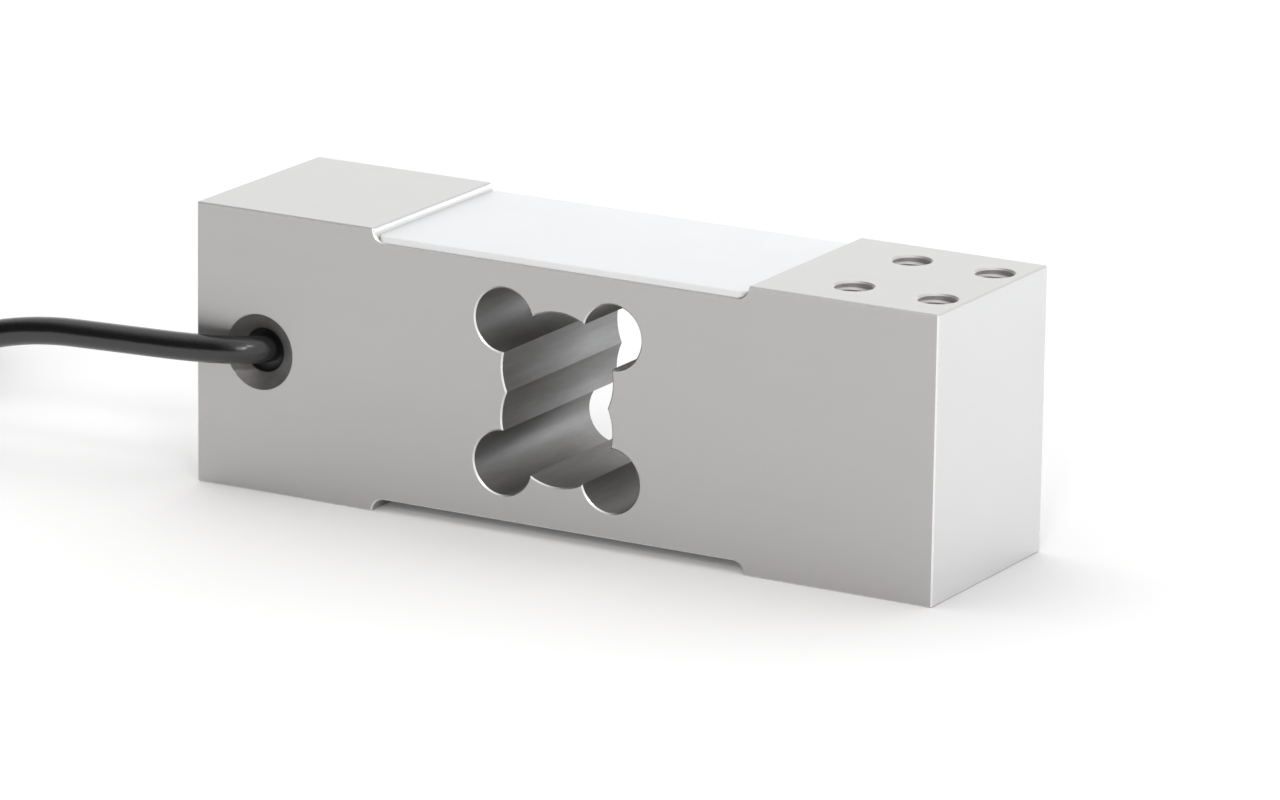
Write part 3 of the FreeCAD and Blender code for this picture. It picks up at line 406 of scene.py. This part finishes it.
# %% Put a thread in every tapped hole
PATTERN_X, PITCH_X, PITCH_Y, BEAM_HEIGHT = 71.7, 19.0, 25.0, 60.8
CORNERS = [(-1, -1), (-1, 1), (1, -1), (1, 1)]
reach_in = THREAD_START + ROOT_WIDTH / 2 + THREAD_TURNS * THREAD_PITCH
patterns = {"load": (PATTERN_X, BEAM_HEIGHT - reach_in, 0), "fixed": (-PATTERN_X, reach_in, math.pi)}
for pattern, (pattern_x, level, turned) in patterns.items():
    for number, (along, across) in enumerate(CORNERS, start=1):
        piece = new_object(f"{pattern}_thread_{number}", thread.data.copy())
        piece.location = Vector((pattern_x + along * PITCH_X / 2, across * PITCH_Y / 2, level)) * MM
        piece.rotation_euler.x = turned
        select_only(piece)
        bpy.ops.object.transform_apply(location=True, rotation=True, scale=True)
        hand_over(piece, "aluminium_body")
bpy.data.objects.remove(thread)
print("threads:", len(patterns) * len(CORNERS))

# %% [markdown]
# ## The cable
# A cable is one long soft curve, so it is a NURBS spline with a round bevel and not a chain of cylinders. The first
# points are the route that the solid follows, out of the outlet, round to the fixed end and down to the table. The
# rest of its two metres lies wound in a neat coil, whose turns are more points of the same spline. The spline touches
# each run between two points only at its middle, so the coil's points stand slightly outside the turns that they make.

# %% The route that the solid follows
CABLE_DIAMETER = 0.006
OUTLET_MOUTH = Vector((-72.0, -24.0, 0.0))
ROUTE = [
    (0.9, 17.0, 30.3),
    (0.9, 11.4, 30.3),
    (0.6, 5.8, 30.6),
    (0.7, 0.8, 31.0),
    (-3.2, -3.3, 31.0),
    (-14.0, -4.7, 30.4),
    (-32.0, -6.3, 30.3),
    (-52.0, -7.0, 29.8),
    (-71.0, -7.3, 24.5),
    (-91.0, -7.1, 10.5),
    (-106.0, -7.0, 3.15),
    (-121.7, -7.0, 3.15),
]
route = [OUTLET_MOUTH + Vector(point) for point in ROUTE]
print("points of the route:", len(route))

# %% The turns of the coil
COIL_LEAD_IN, COIL_RADIUS, OUTER_TURN = 24.0, 33.5, 39.5
LOWEST_TURN, COIL_TOP, LAST_TURN_HEIGHT = 3.15, 18.3, 21.9
COIL_START, FULL_TURNS, LAST_ANGLE = -90, 8, 215
POINTS_A_TURN = 16
# Each move is from one turn count to another, with how many cable widths it steps outward and upward. The last turn
# climbs past the ends of the leads, and rises before it steps outward, so that it rounds the turn under it.
MOVES = [
    (0.8, 1.0, -1, 0),
    (1.8, 2.0, -1, 0),
    (2.6, 2.8, 0, 1),
    (3.4, 3.6, 1, 0),
    (4.4, 4.6, 1, 0),
    (5.2, 5.4, 0, 1),
    (6.0, 6.2, -1, 0),
    (7.0, 7.2, -1, 0),
    (7.88, 8.06, 0, 1.125),
    (7.94, 8.14, 1, 0),
]
coil_middle = Vector((route[-1].x - COIL_LEAD_IN, route[-1].y + OUTER_TURN, 0))


def eased(start, end, now):
    """From 0 to 1 between two turn counts, gently at both ends."""
    way = min(1, max(0, (now - start) / (end - start)))
    return way * way * (3 - 2 * way)


def over_coil(angle, radius, height):
    """A point over the coil in millimetres, at an angle in degrees."""
    flat = Vector((math.cos(math.radians(angle)), math.sin(math.radians(angle)), 0))
    return coil_middle + flat * radius + Vector((0, 0, height))


cable_width = CABLE_DIAMETER / MM
turns = FULL_TURNS + LAST_ANGLE / 360
steps = round(turns * POINTS_A_TURN)
stretch = 1 / math.cos(math.pi * turns / steps)
coil_points = []
for i in range(steps):
    now = (i + 0.5) * turns / steps
    outward = sum(columns * eased(start, end, now) for start, end, columns, _ in MOVES)
    upward = sum(layers * eased(start, end, now) for start, end, _, layers in MOVES)
    radius = (OUTER_TURN + cable_width * outward) * stretch
    coil_points.append(over_coil(COIL_START - 360 * now, radius, LOWEST_TURN + cable_width * upward))
print("points of the coil:", len(coil_points))

# %% Lay the cable
TAIL = 11.0


def round_curve(name, points, diameter, sides=6, smoothness=8):
    """A round NURBS curve through control points that are given in millimetres."""
    curve = bpy.data.curves.new(name, "CURVE")
    curve.dimensions = "3D"
    curve.bevel_depth = diameter / 2
    curve.bevel_resolution = sides
    curve.resolution_u = smoothness
    curve.use_fill_caps = True
    spline = curve.splines.new("NURBS")
    spline.points.add(len(points) - 1)
    for point, place in zip(spline.points, points):
        point.co = (*(Vector(place) * MM), 1)
    spline.order_u = 3
    spline.use_endpoint_u = True
    return new_object(name, curve)


end_angle = COIL_START - LAST_ANGLE
tail_heading = Vector((math.sin(math.radians(end_angle)), -math.cos(math.radians(end_angle)), 0))
cable_end = over_coil(end_angle, COIL_RADIUS, LAST_TURN_HEIGHT) + tail_heading * TAIL
cable = round_curve("sheathed_cable", [*route, *coil_points, cable_end], CABLE_DIAMETER)
hand_over(cable, "cable_sheath", "cable", "cable_coil")
print("cable control points:", len(cable.data.splines[0].points))

# %% [markdown]
# ## The stripped leads
# Past the shrunk sleeve the four insulated cores and the bare drain wire lie on the coil, spread like a fan. Each is
# a soft curve like the cable, and each insulated one ends in a few millimetres of tinned strands. They could be
# straight sticks, but thin leads never are: they leave the nose together, sink to the turns and drift apart.

# %% Spread the leads
CORE_RADIUS, DRAIN_RADIUS, CORE_OFFSET = 0.55, 0.3, 0.65
NOSE_END, REST_GAP = 6.0, 0.1
LEAD_STEPS, LEAD_SPAN, LEAD_SPREAD, FAN_OPEN = 6, 60, 2.7, 0.625
LEAD_SIDES, LEAD_SMOOTHNESS = 4, 6
# The place of each in the fan, and its side and rise in the bundle
LEADS = {
    "lead_red": (-2, -1, -1),
    "lead_black": (-1, -1, 1),
    "drain_lead": (0, 0, 0),
    "lead_green": (1, 1, 1),
    "lead_white": (2, 1, -1),
}
upright = Vector((0, 0, 1))
tail_side = upright.cross(tail_heading)
outward = tail_side if tail_side.dot(cable_end - coil_middle) > 0 else -tail_side
nose = cable_end + tail_heading * NOSE_END - coil_middle
nose_angle, nose_radius = math.degrees(math.atan2(nose.y, nose.x)), math.hypot(nose.x, nose.y)
on_cord, lead_ends = [sleeve], []
for name, (place_in_fan, side, rise) in LEADS.items():
    thickness = CORE_RADIUS if side else DRAIN_RADIUS
    start = cable_end + (outward * side + upright * rise) * CORE_OFFSET
    points = [start, start + tail_heading * NOSE_END]
    from_radius, to_radius = nose_radius + side * CORE_OFFSET, COIL_RADIUS + place_in_fan * LEAD_SPREAD
    from_height, to_height = LAST_TURN_HEIGHT + rise * CORE_OFFSET, COIL_TOP + REST_GAP + thickness
    for i in range(1, LEAD_STEPS + 1):
        spread = eased(0, FAN_OPEN, i / LEAD_STEPS)
        radius = from_radius + (to_radius - from_radius) * spread
        height = from_height + (to_height - from_height) * spread
        points.append(over_coil(nose_angle - LEAD_SPAN * i / LEAD_STEPS, radius, height))
    lead = round_curve(f"{name}_wire", points, 2 * thickness * MM, LEAD_SIDES, LEAD_SMOOTHNESS)
    hand_over(lead, slots[name], name)
    on_cord.append(lead)
    if side:
        lead_ends.append((points[-1], (points[-1] - points[-2]).normalized()))
print("leads:", len(LEADS))

# %% Tin the ends of the insulated leads
TIP_INSET, TIP_LENGTH, TIP_RADIUS = 0.5, 6.0, 0.28
TIP_SIDES, TIP_SMOOTHNESS = 3, 4
for number, (end, heading) in enumerate(lead_ends, start=1):
    points = [end + heading * way for way in (-TIP_INSET, TIP_LENGTH / 2, TIP_LENGTH)]
    tip = round_curve(f"tinned_tip_{number}", points, 2 * TIP_RADIUS * MM, TIP_SIDES, TIP_SMOOTHNESS)
    hand_over(tip, "tinned_copper", "lead_tips")
    on_cord.append(tip)
print("tips:", len(lead_ends))

# %% [markdown]
# ## The table and the light
# The table is a large white sheet. It glows a little to the camera, so that it reads as white, and its diffuse part
# carries the soft shadow round the bar. Most of the light comes from the room, with more from the left and from behind.
# Metal shows what it faces, so in a reflection the room is dark at the left in front, where the long front face looks
# from the camera, and white behind and at the right: the front stays grey, and the pads and the end come out bright.
# Light that the metal would throw on the table is left out, since it would wash out the shadow. Five soft lamps add to
# the room: one overhead, one behind for the pads, one low at the right for the end face, and two small ones in front
# for the broken edges and the sheath.

# %% Table
TABLE_SIZE, TABLE_GLOW = 12, 0.05
bpy.ops.object.select_all(action="DESELECT")
bpy.ops.mesh.primitive_plane_add(size=TABLE_SIZE)
table = bpy.context.object
table.name = "table"
material, tree, shader = new_material(
    "white_table", Base_Color=(0.94, 0.94, 0.94, 1), Roughness=1.0, Specular_IOR_Level=0.0, Emission_Strength=1.0
)
feed(tree, shader, Emission_Color=TABLE_GLOW * node(tree, "ShaderNodeLightPath", output="Is Camera Ray"))
table.data.materials.append(material)
print("table:", TABLE_SIZE, "m square")

# %% Room
BRIGHT_SIDE, DIM_SIDE = 1.0, 0.0
DIM_HEADING, DIM_FROM, DIM_TO = (-0.78, -0.6, -0.2), 0.1, 0.6
ROOM_LEVEL, MORE_FROM_LEFT, MORE_FROM_BEHIND = 0.89, 0.45, 0.35
world = bpy.data.worlds.new("room")
world.use_nodes = True
bpy.context.scene.world = world
tree = world.node_tree
heading = node(tree, "ShaderNodeTexCoord", output="Generated")
toward_dim = node(tree, "ShaderNodeVectorMath", {"operation": "DOT_PRODUCT"}, {0: heading, 1: DIM_HEADING}, "Value")
room = node(
    tree,
    "ShaderNodeMapRange",
    {"interpolation_type": "SMOOTHSTEP"},
    {"Value": toward_dim, "From Min": DIM_FROM, "From Max": DIM_TO, "To Min": BRIGHT_SIDE, "To Max": DIM_SIDE},
)
to_right = node(tree, "ShaderNodeSeparateXYZ", None, {"Vector": heading}, "X")
diffuse = ROOM_LEVEL - MORE_FROM_LEFT * to_right + MORE_FROM_BEHIND * to_right.out("Y")
camera_ray = node(tree, "ShaderNodeLightPath", output="Is Camera Ray")
glossy_ray = camera_ray.out("Is Glossy Ray")
seen_directly = camera_ray.out("Diffuse Depth") < 1
level = diffuse + camera_ray * (1 - diffuse) + glossy_ray * (room * seen_directly - diffuse)
background = tree.nodes["Background"]
background.inputs["Color"].default_value = (1, 1, 1, 1)
tree.links.new(level.socket, background.inputs["Strength"])
print("room nodes:", len(tree.nodes))

# %% Lamps
NEUTRAL, COOL, COOLER, WARM = (1, 1, 1), (0.96, 0.98, 1.0), (0.90, 0.95, 1.0), (1.0, 0.90, 0.87)
# Each with its place, what it points at, its width and height in metres, its power in watts and its colour
LAMPS = {
    "overhead_lamp": ((0.1, 0.15, 1.3), (0, 0, 0), 1.3, 1.0, 1, NEUTRAL),
    "back_lamp": ((-0.3, 1.3, 0.35), (0, 0, 0.03), 1.6, 0.6, 2.1, COOL),
    "end_lamp": ((1.1, 1.0, 0.12), (0.08, 0, 0.03), 0.9, 0.25, 4.8, COOLER),
    "edge_lamp": ((0.55, -0.6, 0.85), (0, 0, 0.03), 0.2, 0.2, 1.2, NEUTRAL),
    "front_lamp": ((0.4, -0.9, 0.55), (-0.01, 0, 0.03), 0.12, 0.12, 2, WARM),
}
for name, (place, aim, width, height, power, colour) in LAMPS.items():
    data = bpy.data.lights.new(name, "AREA")
    data.shape = "RECTANGLE"
    data.size, data.size_y, data.energy, data.color = width, height, power, colour
    facing = (Vector(aim) - Vector(place)).to_track_quat("-Z", "Y")
    new_object(name, data).matrix_world = Matrix.Translation(place) @ facing.to_matrix().to_4x4()
bpy.context.scene.view_settings.view_transform = "Standard"
print("lamps:", len(LAMPS))
